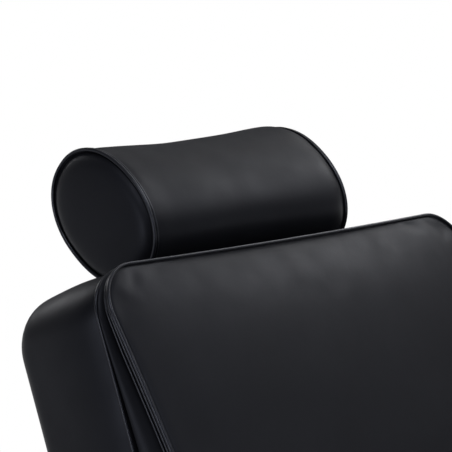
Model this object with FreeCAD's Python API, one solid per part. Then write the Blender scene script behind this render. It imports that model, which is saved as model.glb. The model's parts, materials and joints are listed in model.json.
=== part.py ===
import FreeCAD, Part
import math
import os

from FreeCAD import Placement, Rotation, Vector

# Reclining barber chair with a hydraulic lift, in millimetres.
# The origin is on the floor under the lift column. +Z is up, the sitter faces -Y, and the sitter's left is +X.

# Clearances
RUNNING = 0.05  # radial gap of a shaft that turns or slides in its bore
BOLT_GAP = 0.25  # radial gap of a bolt in its hole
SET_GAP = 0.4  # gap between pieces that move past each other
SINK = 2.0  # how far a cutting tool runs past the face that it opens

# Base
base_radius = 320.0
floor_ring_width = 18.0
floor_ring_height = 6.0
floor_ring_inset = 2.0
base_lip = 12.0  # height of the upright rim
base_dome = 44.0  # rise from the top of the rim to the boss
base_arch = 0.72  # share of that rise which the dome has gained half way in
base_wall = 4.0
boss_radius = 100.0
boss_wall = 8.0

# Lift pump and its ram
ram_radius = 25.0
pump_bore = 34.0
pump_wall = 11.0
pump_floor = 10.0  # thickness of the closed bottom
pump_clear = 12.0  # height of the pump's bottom over the floor
flange_radius = 88.0
flange_height = 10.0
reservoir_radius = 60.0
reservoir_height = 110.0
bush_length = 35.0
cap_height = 14.0
cap_radius = 52.0
cap_clearance = 1.0
seal_width = 6.0
seal_height = 6.0
piston_height = 20.0
piston_gap = 1.0
base_bolt_radius = 5.0
base_bolt_circle = 75.0
base_bolt_count = 4

# Foot pedal, which reaches out behind the pump
pedal_y = 84.0
pedal_z = 150.0
pedal_pin_radius = 6.0
pedal_pin_head = 9.0
pedal_eye = 13.0
pedal_width = 24.0
pedal_thickness = 12.0
pedal_cheek = 6.0  # thickness of each bracket cheek
pedal_knee = 66.0  # pivot to the point where the arm turns down
pedal_drop = 34.0
pedal_slope = 84.0
pedal_toe = 112.0
pad_length = 84.0
pad_width = 92.0
pad_thickness = 14.0
pad_corner = 14.0
pad_overhang = 6.0
groove_width = 5.0
groove_depth = 2.0
groove_pitch = 13.0
plunger_arm = 32.0  # pivot to the plunger
plunger_radius = 6.0
plunger_length = 42.0
plunger_boss = 14.0
shelf_drop = 32.0  # pivot to the bracket's shelf
shelf_height = 34.0
shelf_floor = 3.0

# Seat stack, from the cushion's top down to the lift
seat_height = 530.0  # crown of the cushion at the lowest setting
cushion_thickness = 88.0
seat_base_height = 50.0
board_thickness = 16.0
rail_height = 28.0
plate_thickness = 6.0
hub_length = 44.0
hub_radius = 44.0
hub_gap = 14.0  # between the hub and the pump's cap when the seat is down

# Seat plan
seat_width = 510.0
seat_front = 250.0  # ahead of the column
seat_rear = 235.0  # behind the column
seat_corner = 30.0
seat_cushion_gap = 5.0  # the cushion stops this short of the base's rear
seat_crown = 12.0
seat_front_roll = 20.0  # how far the front edge drops
board_inset = 20.0
rail_centre = 150.0
rail_width = 30.0
rail_wall = 2.5
rail_inset = 15.0
plate_length = 240.0
plate_margin = 5.0
plate_corner = 20.0
plate_bolt_row = 70.0
plate_bolt_radius = 4.0
plate_bolt_bite = 12.0  # into the seat board
screw_radius = 3.0
screw_length = 12.0

# Arm rests
arm_tube = 12.5
arm_wall = 2.0
arm_gap = 18.0  # seat's side to the tube
arm_front = 150.0
arm_rear = 170.0
arm_height = 690.0  # centre of the tube under the pad
arm_bend = 55.0
arm_flange = 56.0
arm_flange_height = 24.0
arm_flange_thickness = 6.0
arm_screw_pitch = 40.0
arm_pad_width = 72.0
arm_pad_edge = 40.0
arm_pad_crown = 8.0
arm_pad_overhang = 40.0
arm_pad_corner = 32.0

# Recline hinge, its crank and the gas spring
recline_range = 38.0  # degrees
pivot_gap = 31.0  # seat's rear to the pivot
hinge_pin_radius = 8.0
hinge_pin_head = 12.0
hinge_pin_length = 50.0
hinge_plate = 6.0
hinge_plate_reach = 90.0
hinge_plate_height = 24.0
hinge_eye = 22.0
hinge_foot = 12.0
hinge_screw_first = 25.0
hinge_screw_pitch = 40.0
cross_tube = 14.0
cross_tube_gap = 1.5
crank_radius = 62.0
crank_thickness = 10.0
crank_hub = 22.0
crank_tip = 12.0
crank_pin_radius = 5.0
crank_pin_head = 9.0
crank_pin_slack = 2.3  # radial gap in the rod's fork
fork_ear = 6.0
fork_radius = 10.5
fork_depth = 22.0
fork_web = 9.0
gas_radius = 11.0
gas_bore = 8.0
gas_front = 60.0  # ahead of the column
gas_length = 200.0
gas_end_wall = 11.0
gas_rod_radius = 5.0
gas_piston = 10.0
gas_insert = 40.0  # rod inside the cylinder when the back is upright
gas_valve_radius = 3.0
clamp_length = 40.0
clamp_width = 36.0
clamp_setback = 15.0
clamp_top = 1.5  # gap from the clamp to the seat board

# Recline lever on the sitter's right
lever_ahead = 95.0
lever_angle = 25.0  # degrees of lift
lever_rest_angle = 45.0  # finger below level when the lever is down
lever_shaft_radius = 6.0
lever_shaft_end = 6.0
lever_bush_wall = 3.0
lever_bush_lip = 2.0
lever_gap = 9.0  # seat's side to the handle
lever_thickness = 7.0
lever_length = 130.0
lever_rise = 10.0
lever_eye = 10.0
lever_tip = 7.0
lever_finger = 12.0
lever_finger_root = 8.0
lever_finger_radius = 3.5
grip_length = 70.0
grip_wall = 4.0

# Footrest
foot_tube = 12.5
foot_wall = 2.0
foot_start = 112.0
foot_knee = 285.0
foot_heel = 430.0
foot_toe = 530.0
foot_level = 130.0
foot_bend = 60.0
foot_clamp_front = 200.0
foot_clamp_length = 50.0
foot_clamp_wall = 4.0  # the clamp on either side of the tube
foot_rod_radius = 8.0
foot_rod_setback = 30.0  # toe of the tubes to the rod
foot_rod_overhang = 12.0
plug_length = 8.0
plug_disc = 4.0
footplate_width = 340.0
footplate_depth = 124.0
footplate_thickness = 13.0
footplate_corner = 28.0
footplate_setback = 16.0  # rod to the plate's rear edge
footplate_lug = 24.0
footplate_lug_centre = 62.0
footplate_lug_radius = 13.0
tread_thickness = 4.0
tread_margin = 12.0
calf_board_thickness = 12.0
calf_board_width = 300.0
calf_board_length = 150.0
calf_width = 336.0
calf_length = 176.0
calf_edge = 36.0
calf_crown = 10.0
calf_corner = 26.0

# Backrest, in its own frame: y rearward from the pivot, z up along the lean
back_lean = 20.0  # degrees from upright
back_width = 516.0
back_depth = 106.0
back_bottom = 55.0
back_top = 560.0  # at the front
back_top_drop = 8.0  # fall of the top from its front to its rear
back_crown_radius = 36.0  # top rear corner
back_foot_radius = 20.0
back_side_radius = 12.0
back_wall = 14.0
back_board_thickness = 14.0
back_cushion_width = 520.0
back_cushion_bottom = 62.0
back_cushion_top = 571.0
back_cushion_corner = 34.0
back_cushion_thin = 10.0  # at the top edge
back_cushion_shoulder = 37.0
back_cushion_shoulder_at = 157.0  # below the top edge
back_cushion_dip = 5.0  # how far the slope above the shoulder lies under a straight one
back_cushion_lumbar = 60.0
back_cushion_lumbar_at = 301.0  # below the top edge
back_cushion_low = 46.0  # at the bottom edge
back_crown = 12.0  # how far the middle stands proud of the sides
draw_in = 4.0  # how far a cushion's sides pull in between its corners
strap_centre = 86.0
strap_width = 40.0
strap_thickness = 6.0
strap_top = 320.0
strap_bolt_radius = 4.0
strap_bolt_bite = 11.0  # into the back board
strap_bolt_first = 120.0
strap_bolt_pitch = 80.0
strap_bolt_count = 3

# Headrest
headrest_length = 274.0  # between the end seams
headrest_radius = 52.0
headrest_spread = 32.0  # between the centres of the two end arcs
headrest_tilt = 25.0  # degrees beyond the back's lean
headrest_waist = 0.94  # the middle's size as a share of the ends'
headrest_rise = 66.0  # back's top to the bolster's centre
headrest_setback = 77.0  # back's front plane to the bolster's centre
headrest_cap = 8.0  # crown of each end
headrest_cap_share = 0.76
post_radius = 6.0
post_centre = 60.0
post_setback = 48.0
post_length = 215.0
post_end = 2.0  # past the bolster's centre
guide_wall = 4.0
guide_length = 170.0
guide_bracket_height = 20.0
guide_bracket_margin = 15.0
guide_bracket_low = 40.0
guide_bracket_high = 130.0
bush_flange = 13.0
bush_flange_height = 3.0
core_length = 200.0
core_height = 40.0
core_thickness = 26.0
core_top = 6.0  # past the bolster's centre

# Small hardware
head_ratio = 1.7  # bolt head radius over shank radius
head_height = 5.0
nut_height = 7.0

# Heights that follow from the seat stack
cushion_bottom = seat_height - cushion_thickness
seat_base_bottom = cushion_bottom - seat_base_height
board_bottom = seat_base_bottom - board_thickness
rail_bottom = board_bottom - rail_height
rail_middle = rail_bottom + rail_height / 2
plate_bottom = rail_bottom - plate_thickness
hub_bottom = plate_bottom - hub_length
cap_top = hub_bottom - hub_gap
pump_top = cap_top - cap_height

# Heights and radii of the base and the pump
rim_top = floor_ring_height + base_lip
boss_top = rim_top + base_dome
boss_underside = boss_top - boss_wall
flange_top = boss_top + flange_height
reservoir_top = flange_top + reservoir_height
pump_radius = pump_bore + pump_wall
floor_ring_outer = base_radius - floor_ring_inset
floor_ring_inner = floor_ring_outer - floor_ring_width

# Places that follow from the plan
rail_inner = rail_centre - rail_width / 2
rail_outer = rail_centre + rail_width / 2
arm_x = seat_width / 2 + arm_gap + arm_tube
foot_x = rail_inner - foot_tube - foot_clamp_wall
foot_rod_y = foot_rod_setback - foot_toe
half_recline = math.radians(recline_range / 2)
pivot_y = seat_rear + pivot_gap
pivot_z = rail_middle + crank_radius * (1 + math.cos(half_recline)) / 2
crank_pin_y = pivot_y + crank_radius * math.sin(half_recline)
crank_pin_z = pivot_z - crank_radius * math.cos(half_recline)
gas_rear = gas_length - gas_front
cross_half = rail_inner - hinge_plate - cross_tube_gap
lever_inner = seat_width / 2 + lever_gap
lever_outer = lever_inner + lever_thickness
guide_radius = post_radius + RUNNING + guide_wall
headrest_height = back_top + headrest_rise
back_rear_top = back_top - back_top_drop

ORIGIN = Vector(0, 0, 0)
ALONG_X = Vector(1, 0, 0)
ALONG_Z = Vector(0, 0, 1)
parts = {}


def line(start, end):
    """A straight edge."""
    return Part.LineSegment(start, end).toShape()


def arc(start, through, end):
    """A round edge through three points."""
    return Part.Arc(start, through, end).toShape()


def block(x, y, z):
    """A box between the two limits given for each axis."""
    return Part.makeBox(x[1] - x[0], y[1] - y[0], z[1] - z[0], Vector(x[0], y[0], z[0]))


def rounded(solid, way, radius):
    """The solid with its straight edges along a direction rounded."""
    edges = []
    for edge in solid.Edges:
        if isinstance(edge.Curve, Part.Line) and edge.Curve.Direction.cross(Vector(*way)).Length < 1e-6:
            edges.append(edge)
    return solid.makeFillet(radius, edges)


def rod(start, end, radius):
    """A round bar from one point to another."""
    start = Vector(*start)
    way = Vector(*end) - start
    return Part.makeCylinder(radius, way.Length, start, way)


def column(x, y, low, high, radius):
    """An upright round bar."""
    return rod((x, y, low), (x, y, high), radius)


def crossbar(y, z, low, high, radius):
    """A round bar along X."""
    return rod((low, y, z), (high, y, z), radius)


def lengthwise(z, front, rear, radius):
    """A round bar along Y in the middle plane."""
    return rod((0, front, z), (0, rear, z), radius)


def washer(low, high, inner, outer):
    """An upright ring about the lift's axis."""
    return column(0, 0, low, high, outer).cut(column(0, 0, low - SINK, high + SINK, inner))


def turned(profile):
    """A solid turned about Z from (radius, height) corners."""
    points = [Vector(radius, 0, z) for radius, z in profile]
    return Part.Face(Part.makePolygon(points + points[:1])).revolve(ORIGIN, ALONG_Z, 360)


def dome(rim_radius, low, rim, boss, top):
    """A solid dome: an upright rim, an arched shoulder and a flat boss."""
    corners = [(0, low), (rim_radius, low), (rim_radius, rim), (boss, top), (0, top)]
    a, b, c, d, e = (Vector(radius, 0, z) for radius, z in corners)
    shoulder = Vector((rim_radius + boss) / 2, 0, rim + (top - rim) * base_arch)
    wire = Part.Wire([line(a, b), line(b, c), arc(c, shoulder, d), line(d, e), line(e, a)])
    return Part.Face(wire).revolve(ORIGIN, ALONG_Z, 360)


def side_plate(corners, low, high):
    """A plate across X with the (y, z) corners given."""
    points = [Vector(low, y, z) for y, z in corners]
    return Part.Face(Part.makePolygon(points + points[:1])).extrude(Vector(high - low, 0, 0))


def link(start, end, start_radius, end_radius, low, high):
    """A plate across X that wraps two (y, z) circles."""
    a = Vector(low, *start)
    b = Vector(low, *end)
    along = (b - a).normalize()
    across = Vector(0, -along.z, along.y)
    turn = math.acos((start_radius - end_radius) / (b - a).Length)
    upper = along * math.cos(turn) + across * math.sin(turn)
    lower = along * math.cos(turn) - across * math.sin(turn)
    a_upper = a + upper * start_radius
    a_lower = a + lower * start_radius
    b_upper = b + upper * end_radius
    b_lower = b + lower * end_radius
    wire = Part.Wire([
        arc(a_upper, a - along * start_radius, a_lower),
        line(a_lower, b_lower),
        arc(b_lower, b + along * end_radius, b_upper),
        line(b_upper, a_upper),
    ])
    return Part.Face(wire).extrude(Vector(high - low, 0, 0))


def strip(centre_line, thickness, low, high):
    """A bent flat bar across X along a (y, z) centre line that runs towards +Y."""
    headings = []
    for (y0, z0), (y1, z1) in zip(centre_line, centre_line[1:]):
        headings.append(math.atan2(z1 - z0, y1 - y0))
    before = headings[:1] + headings
    after = headings + headings[-1:]
    upper = []
    lower = []
    for (y, z), first, second in zip(centre_line, before, after):
        lean = (first + second) / 2
        half = thickness / 2 / math.cos((second - first) / 2)
        upper.append((y - half * math.sin(lean), z + half * math.cos(lean)))
        lower.append((y + half * math.sin(lean), z - half * math.cos(lean)))
    return side_plate(upper + lower[::-1], low, high)


def bent_wire(points, bend):
    """Straight runs through the points, joined by tangent arcs."""
    points = [Vector(*point) for point in points]
    start = points[0]
    edges = []
    for before, corner, after in zip(points, points[1:], points[2:]):
        back = (before - corner).normalize()
        ahead = (after - corner).normalize()
        half = back.getAngle(ahead) / 2
        setback = bend / math.tan(half)
        inward = (back + ahead).normalize()
        middle = corner + inward * (bend / math.sin(half) - bend)
        first = corner + back * setback
        last = corner + ahead * setback
        edges.append(line(start, first))
        edges.append(arc(first, middle, last))
        start = last
    edges.append(line(start, points[-1]))
    return Part.Wire(edges)


def bent_bar(points, bend, radius):
    """A round bar along a bent wire."""
    start = Vector(*points[0])
    ring = Part.Wire(Part.makeCircle(radius, start, Vector(*points[1]) - start))
    return bent_wire(points, bend).makePipeShell([ring], True, True)


def bent_tube(points, bend, radius, wall):
    """A tube along a bent wire, open at both ends."""
    return bent_bar(points, bend, radius).cut(bent_bar(points, bend, radius - wall))


def hexagon(start, way, radius, height):
    """A six-sided prism along a direction."""
    corners = []
    for step in range(7):
        angle = math.radians(60 * step)
        corners.append(Vector(radius * math.cos(angle), radius * math.sin(angle), 0))
    prism = Part.Face(Part.makePolygon(corners)).extrude(Vector(0, 0, height))
    prism.Placement = Placement(start, Rotation(ALONG_Z, way))
    return prism


def bolt(seat, way, radius, length, nut=0.0):
    """A bolt whose head stands on the seat point and whose shank runs along a unit direction."""
    seat = Vector(*seat)
    way = Vector(*way)
    head = hexagon(seat - way * head_height, way, radius * head_ratio, head_height)
    solid = head.fuse(Part.makeCylinder(radius, length, seat, way))
    if nut:
        solid = solid.fuse(hexagon(seat + way * (length - nut), way, radius * head_ratio, nut))
    return solid.removeSplitter()


def drilled(solid, seats, way, radius, length):
    """The solid with a clearance hole for the bolt at each seat point."""
    way = Vector(*way)
    for seat in seats:
        start = Vector(*seat) - way * SINK
        solid = solid.cut(Part.makeCylinder(radius + BOLT_GAP, length + 2 * SINK, start, way))
    return solid


def mirrored(solid):
    """The same piece on the other side of the chair."""
    return solid.mirror(ORIGIN, ALONG_X)


def pair(name, solid):
    """A left-hand piece and its right-hand twin."""
    parts[name + "_left"] = solid
    parts[name + "_right"] = mirrored(solid)


def both(solids):
    """One piece made of left and right halves that don't touch."""
    return Part.makeCompound(solids + [mirrored(solid) for solid in solids])


def drawn_outline(width, front, rear, corner):
    """A plan with rounded corners, whose sides pull in a little between them."""
    half = width / 2
    middle = (front + rear) / 2
    k = corner * (1 - math.sqrt(0.5))
    corners = [
        ((-half, rear - corner), (-half + k, rear - k), (-half + corner, rear)),
        ((half - corner, rear), (half - k, rear - k), (half, rear - corner)),
        ((half, front + corner), (half - k, front + k), (half - corner, front)),
        ((-half + corner, front), (-half + k, front + k), (-half, front + corner)),
    ]
    waists = [(0, rear - draw_in), (half - draw_in, middle), (0, front + draw_in), (-half + draw_in, middle)]
    edges = []
    for i, waist in enumerate(waists):
        first, through, last = (Vector(x, y, -SINK) for x, y in corners[i])
        following = Vector(*corners[(i + 1) % 4][0], -SINK)
        edges.append(arc(first, through, last))
        edges.append(arc(last, Vector(*waist, -SINK), following))
    return Part.Wire(edges)


def boxed_cushion(width, corner, stations):
    """A boxed cushion on the plane z = 0, with a crowned top.

    Each station is (y, height at the sides, crown), from the front of the cushion to its rear.
    """
    reach = width / 2 + SINK
    front = stations[0][0]
    rear = stations[-1][0]
    sections = []
    tallest = 0
    for y, edge, crown in stations:
        y += SINK * ((y == rear) - (y == front))
        tallest = max(tallest, edge + crown)
        low_left = Vector(-reach, y, 0)
        low_right = Vector(reach, y, 0)
        top_left = Vector(-reach, y, edge)
        top_right = Vector(reach, y, edge)
        sections.append(Part.Wire([
            line(low_left, low_right),
            line(low_right, top_right),
            arc(top_right, Vector(0, y, edge + crown), top_left),
            line(top_left, low_left),
        ]))
    outline = Part.Face(drawn_outline(width, front, rear, corner))
    prism = outline.extrude(Vector(0, 0, tallest + 10 * SINK))
    return Part.makeLoft(sections, True).common(prism)


def stadium(x, share):
    """The bolster's outline across X: two end arcs and two flat sides, long along Z."""
    radius = headrest_radius * share
    half = headrest_spread * share / 2
    k = radius * math.sqrt(0.5)
    ring = [(radius, -half), (radius, half), (0, half + radius), (-radius, half), (-radius, -half)]
    a, b, c, d, e = (Vector(x, y, z) for y, z in ring)
    f = Vector(x, 0, -half - radius)
    return Part.Wire([
        line(a, b),
        arc(b, Vector(x, k, half + k), c),
        arc(c, Vector(x, -k, half + k), d),
        line(d, e),
        arc(e, Vector(x, -k, -half - k), f),
        arc(f, Vector(x, k, -half - k), a),
    ])


def placed(solid, origin, degrees):
    """The solid turned about X and moved."""
    moved = solid.copy()
    moved.Placement = Placement(Vector(*origin), Rotation(ALONG_X, degrees)).multiply(solid.Placement)
    return moved


def on_back(solid):
    """A piece of the backrest, moved from the back's own frame to the chair's."""
    return placed(solid, (0, pivot_y, pivot_z), -back_lean)


def grooved(solid, front, rear, top, width):
    """A tread with grooves across its top."""
    count = int((rear - front - groove_width) / groove_pitch)
    first = (front + rear - (count - 1) * groove_pitch) / 2
    for i in range(count):
        y = first + i * groove_pitch
        reach = (y - groove_width / 2, y + groove_width / 2)
        solid = solid.cut(block((-width / 2, width / 2), reach, (top - groove_depth, top + SINK)))
    return solid


def build_base():
    """The floor disc, its rubber ring and the pump bolted into it."""
    hollow = dome(base_radius - base_wall, floor_ring_height + base_wall, rim_top - base_wall / 2, boss_radius,
                  boss_top - base_wall)
    hollow = hollow.cut(column(0, 0, boss_underside, boss_top, boss_radius))
    mouth = column(0, 0, floor_ring_height - SINK, floor_ring_height + base_wall + SINK, floor_ring_inner)
    spigot = column(0, 0, 0, boss_top + SINK, pump_radius)
    disc = dome(base_radius, floor_ring_height, rim_top, boss_radius, boss_top).cut([hollow, mouth, spigot])

    shoulder = reservoir_top + reservoir_radius - pump_radius
    bore_floor = pump_clear + pump_floor
    housing = turned([
        (0, pump_clear), (pump_radius, pump_clear), (pump_radius, boss_top), (flange_radius, boss_top),
        (flange_radius, flange_top), (reservoir_radius, flange_top), (reservoir_radius, reservoir_top),
        (pump_radius, shoulder), (pump_radius, pump_top), (pump_bore, pump_top), (pump_bore, bore_floor),
        (0, bore_floor),
    ])

    seats = []
    for i in range(base_bolt_count):
        angle = 2 * math.pi * (i + 0.5) / base_bolt_count
        seats.append((base_bolt_circle * math.cos(angle), base_bolt_circle * math.sin(angle), flange_top))
    down = (0, 0, -1)
    length = flange_height + boss_wall + nut_height
    bolts = [bolt(seat, down, base_bolt_radius, length, nut_height) for seat in seats]

    parts["base_disc"] = drilled(disc, seats, down, base_bolt_radius, length)
    parts["base_floor_ring"] = washer(0, floor_ring_height, floor_ring_inner, floor_ring_outer)
    parts["pump_housing"] = drilled(housing, seats, down, base_bolt_radius, length)
    parts["base_bolts"] = Part.makeCompound(bolts)
    parts["guide_bush"] = washer(pump_top - bush_length, pump_top, ram_radius + RUNNING, pump_bore)
    seal_outer = ram_radius + seal_width
    pocket = column(0, 0, cap_top - seal_height, cap_top + SINK, seal_outer)
    parts["gland_cap"] = washer(pump_top, cap_top, ram_radius + cap_clearance, cap_radius).cut(pocket)
    parts["wiper_seal"] = washer(cap_top - seal_height, cap_top, ram_radius + RUNNING, seal_outer)


def build_pedal():
    """The foot pedal, the bracket that carries it and the plunger that it pushes."""
    half = pedal_width / 2
    inner = half + SET_GAP
    outer = inner + pedal_cheek
    plunger_y = pedal_y + plunger_arm
    shelf_top = pedal_z - shelf_drop
    shelf_low = shelf_top - shelf_height

    bracket = block((-outer, outer), (0, plunger_y), (shelf_low, shelf_top))
    bracket = bracket.fuse(column(0, plunger_y, shelf_low, shelf_top, plunger_boss))
    for low, high in ((inner, outer), (-outer, -inner)):
        bracket = bracket.fuse(link((pedal_y, pedal_z), (pedal_y, shelf_top), pedal_eye, pedal_eye, low, high))
    bracket = bracket.cut(column(0, 0, 0, reservoir_top, reservoir_radius))
    bracket = bracket.cut(column(0, plunger_y, shelf_low + shelf_floor, pedal_z, plunger_radius + RUNNING))
    bracket = bracket.cut(crossbar(pedal_y, pedal_z, -outer - SINK, outer + SINK, pedal_pin_radius))
    parts["pedal_bracket"] = bracket.removeSplitter()

    pin = crossbar(pedal_y, pedal_z, -outer, outer, pedal_pin_radius)
    for low, high in ((outer, outer + pedal_cheek), (-outer - pedal_cheek, -outer)):
        pin = pin.fuse(crossbar(pedal_y, pedal_z, low, high, pedal_pin_head))
    parts["pedal_pin"] = pin.removeSplitter()

    toe_z = pedal_z - pedal_drop
    slope_end = pedal_y + pedal_knee + pedal_slope
    toe_y = slope_end + pedal_toe
    centre_line = [(pedal_y, pedal_z), (pedal_y + pedal_knee, pedal_z), (slope_end, toe_z), (toe_y, toe_z)]
    arm = strip(centre_line, pedal_thickness, -half, half)
    arm = arm.fuse(crossbar(pedal_y, pedal_z, -half, half, pedal_eye))
    arm = arm.cut(crossbar(pedal_y, pedal_z, -half - SINK, half + SINK, pedal_pin_radius + RUNNING))
    parts["pedal_arm"] = arm.removeSplitter()

    pad_rear = toe_y + pad_overhang
    pad_front = pad_rear - pad_length
    pad_low = toe_z + pedal_thickness / 2
    pad_top = pad_low + pad_thickness
    pad = block((-pad_width / 2, pad_width / 2), (pad_front, pad_rear), (pad_low, pad_top))
    pad = rounded(pad, (0, 0, 1), pad_corner)
    parts["pedal_pad"] = grooved(pad, pad_front, pad_rear, pad_top, pad_width - 2 * pad_corner)

    dome_top = pedal_z - pedal_thickness / 2 - SET_GAP
    dome_centre = dome_top - plunger_radius
    plunger = column(0, plunger_y, dome_top - plunger_length, dome_centre, plunger_radius)
    parts["pump_plunger"] = plunger.fuse(Part.makeSphere(plunger_radius, Vector(0, plunger_y, dome_centre)))


def build_lift():
    """The ram that raises the chair."""
    piston_low = pump_clear + pump_floor + piston_gap
    piston_top = piston_low + piston_height
    parts["lift_ram"] = column(0, 0, piston_top, plate_bottom, ram_radius)
    parts["ram_piston"] = column(0, 0, piston_low, piston_top, pump_bore - RUNNING)


def build_seat():
    """The swivelling plate under the seat, and the seat."""
    parts["swivel_hub"] = washer(hub_bottom, plate_bottom, ram_radius + RUNNING, hub_radius)

    plate_half = rail_outer + plate_margin
    plate = block((-plate_half, plate_half), (-plate_length / 2, plate_length / 2), (plate_bottom, rail_bottom))
    plate = rounded(plate, (0, 0, 1), plate_corner)
    half = seat_width / 2
    board_half = half - board_inset
    board = block((-board_half, board_half), (board_inset - seat_front, seat_rear - board_inset),
                  (board_bottom, seat_base_bottom))
    left_seats = [(rail_centre, -plate_bolt_row, plate_bottom), (rail_centre, plate_bolt_row, plate_bottom)]
    right_seats = [(-x, y, z) for x, y, z in left_seats]
    up = (0, 0, 1)
    length = plate_thickness + rail_height + plate_bolt_bite
    bolts = both([bolt(seat, up, plate_bolt_radius, length) for seat in left_seats])
    parts["mounting_plate"] = drilled(plate, left_seats + right_seats, up, plate_bolt_radius, length)
    parts["seat_board"] = board.cut(bolts)
    parts["plate_bolts"] = bolts

    base = block((-half, half), (-seat_front, seat_rear), (seat_base_bottom, cushion_bottom))
    parts["seat_base"] = rounded(base, (0, 0, 1), seat_corner)

    edge = cushion_thickness - seat_crown
    rear = seat_rear - seat_cushion_gap
    depth = seat_front + rear
    stations = [
        (-seat_front, edge - seat_front_roll, seat_crown * 0.5),
        (-seat_front + depth * 0.12, edge - seat_front_roll * 0.25, seat_crown * 0.85),
        (-seat_front + depth * 0.45, edge, seat_crown),
        (-seat_front + depth * 0.85, edge, seat_crown * 0.9),
        (rear, edge - seat_crown, seat_crown * 0.6),
    ]
    cushion = boxed_cushion(seat_width, seat_corner, stations)
    parts["seat_cushion"] = placed(cushion, (0, 0, cushion_bottom), 0)
    return left_seats, length


def build_rails(plate_seats, plate_bolt_length):
    """The two rails, with the arm rests and the hinge plates screwed to their sides."""
    face_x = rail_outer + arm_flange_thickness
    flange_z = (rail_middle - arm_flange_height / 2, rail_middle + arm_flange_height / 2)
    path = [
        (face_x, -arm_front, rail_middle), (arm_x, -arm_front, rail_middle), (arm_x, -arm_front, arm_height),
        (arm_x, arm_rear, arm_height), (arm_x, arm_rear, rail_middle), (face_x, arm_rear, rail_middle),
    ]
    arm = bent_tube(path, arm_bend, arm_tube, arm_wall)
    arm_seats = []
    for y in (-arm_front, arm_rear):
        arm = arm.fuse(block((rail_outer, face_x), (y - arm_flange / 2, y + arm_flange / 2), flange_z))
        for shift in (-arm_screw_pitch / 2, arm_screw_pitch / 2):
            arm_seats.append((face_x, y + shift, rail_middle))
    inward = (-1, 0, 0)
    pair("arm_frame", drilled(arm.removeSplitter(), arm_seats, inward, screw_radius, screw_length))

    pad_front = -arm_front - arm_pad_overhang
    pad_rear = arm_rear + arm_pad_overhang
    third = (pad_rear - pad_front) / 3
    stations = [
        (pad_front, arm_pad_edge * 0.86, arm_pad_crown * 0.7),
        (pad_front + third, arm_pad_edge, arm_pad_crown),
        (pad_rear - third, arm_pad_edge, arm_pad_crown),
        (pad_rear, arm_pad_edge * 0.86, arm_pad_crown * 0.7),
    ]
    pad = placed(boxed_cushion(arm_pad_width, arm_pad_corner, stations), (arm_x, 0, arm_height), 0)
    pair("arm_pad", pad.cut(bent_bar(path, arm_bend, arm_tube)))

    plate_inner = rail_inner - hinge_plate
    plate_z = (rail_middle - hinge_plate_height / 2, rail_middle + hinge_plate_height / 2)
    bracket = block((plate_inner, rail_inner), (seat_rear - hinge_plate_reach, pivot_y), plate_z)
    eye = link((pivot_y, pivot_z), (pivot_y, rail_middle), hinge_eye, hinge_foot, plate_inner, rail_inner)
    bracket = bracket.fuse(eye).cut(crossbar(pivot_y, pivot_z, 0, rail_outer, hinge_pin_radius))
    first_screw = seat_rear - hinge_screw_first
    hinge_seats = [(plate_inner, first_screw, rail_middle),
                   (plate_inner, first_screw - hinge_screw_pitch, rail_middle)]
    outward = (1, 0, 0)
    pair("hinge_bracket", drilled(bracket.removeSplitter(), hinge_seats, outward, screw_radius, screw_length))

    pin = crossbar(pivot_y, pivot_z, rail_inner - hinge_pin_length, rail_inner, hinge_pin_radius)
    pin = pin.fuse(crossbar(pivot_y, pivot_z, rail_inner, rail_inner + hinge_plate, hinge_pin_head))
    parts["hinge_pins"] = both([pin.removeSplitter()])

    screws = [bolt(seat, inward, screw_radius, screw_length) for seat in arm_seats]
    screws += [bolt(seat, outward, screw_radius, screw_length) for seat in hinge_seats]
    parts["frame_screws"] = both(screws)

    front = rail_inset - seat_front
    hollow = block((rail_inner + rail_wall, rail_outer - rail_wall), (front - SINK, seat_rear + SINK),
                   (rail_bottom + rail_wall, board_bottom - rail_wall))
    rail = block((rail_inner, rail_outer), (front, seat_rear), (rail_bottom, board_bottom)).cut(hollow)
    rail = drilled(rail, arm_seats, inward, screw_radius, screw_length)
    rail = drilled(rail, hinge_seats, outward, screw_radius, screw_length)
    pair("seat_rail", drilled(rail, plate_seats, (0, 0, 1), plate_bolt_radius, plate_bolt_length))


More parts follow.
